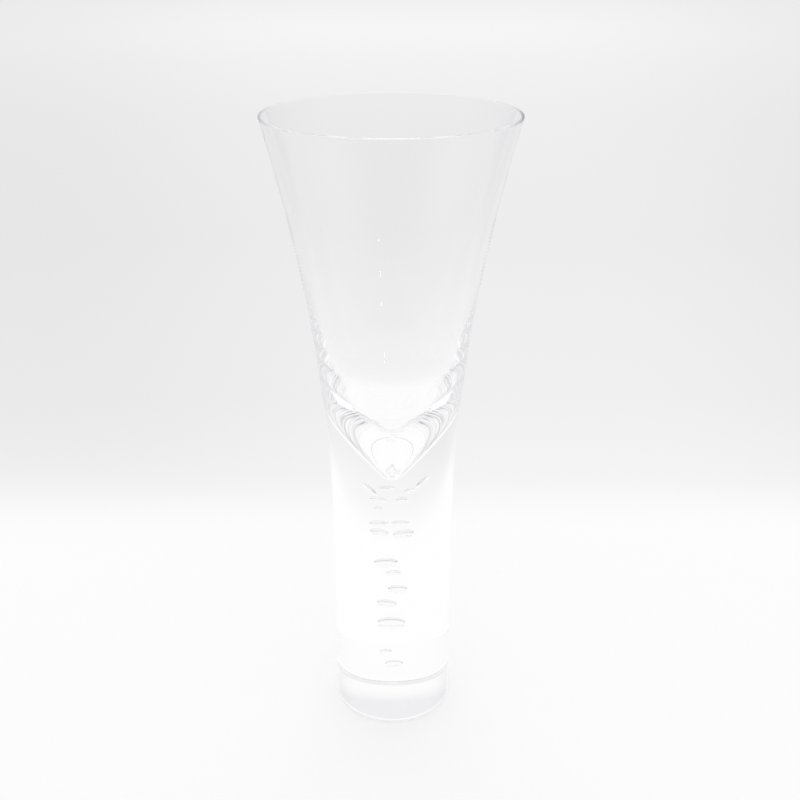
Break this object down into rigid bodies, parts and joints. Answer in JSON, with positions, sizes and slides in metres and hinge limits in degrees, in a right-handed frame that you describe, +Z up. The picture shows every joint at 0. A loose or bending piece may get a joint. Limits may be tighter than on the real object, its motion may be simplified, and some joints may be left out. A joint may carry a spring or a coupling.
{
  "type": "champagne glass",
  "caption": "Clear champagne glass: a flared bowl with a pointed well, running into a thick solid cylinder stem that is also the foot and holds a trail of air bubbles.",
  "frame": {"origin": "middle of the foot's flat underside", "axes": "+Z up along the glass's axis, from the foot to the lip; -Y is the side seen in the picture"},
  "size_m": [0.0736, 0.0736, 0.2],
  "materials": {
    "clear_glass": "polished clear glass"
  },
  "bodies": {
    "root": {"bowl": "clear_glass", "stem_casing": "clear_glass", "stem_core": "clear_glass"}
  },
  "joints": []
}
